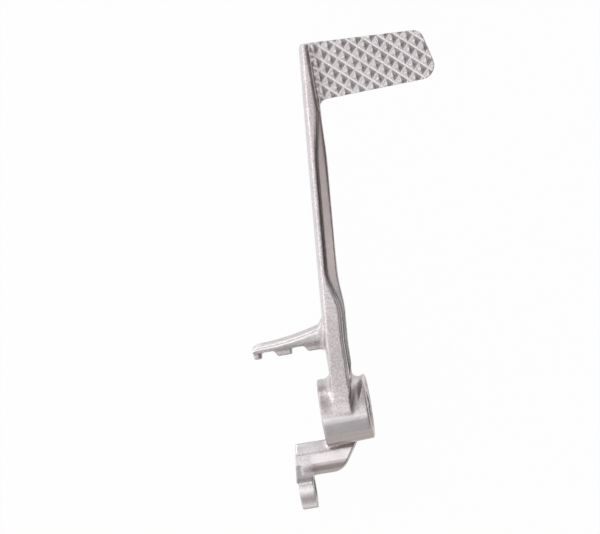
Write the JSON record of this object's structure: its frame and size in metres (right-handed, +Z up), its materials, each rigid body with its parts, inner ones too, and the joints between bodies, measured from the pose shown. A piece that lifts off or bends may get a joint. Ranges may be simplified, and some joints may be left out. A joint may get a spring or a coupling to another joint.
{
  "type": "rear brake pedal",
  "caption": "Cast aluminium rear brake pedal: long arm with a raised rail, pyramid tread pad, pivot boss, spring tab and rear pushrod lever.",
  "frame": {"origin": "middle of the pivot bore", "axes": "+X outboard along the pivot bore, +Y forward to the foot pad, +Z up, the side of the tread"},
  "size_m": [0.0948, 0.1908, 0.0476],
  "materials": {
    "cast_aluminium": "fine blasted casting, matt, with a slight sparkle"
  },
  "bodies": {
    "root": {"brake_pedal": "cast_aluminium"}
  },
  "joints": []
}
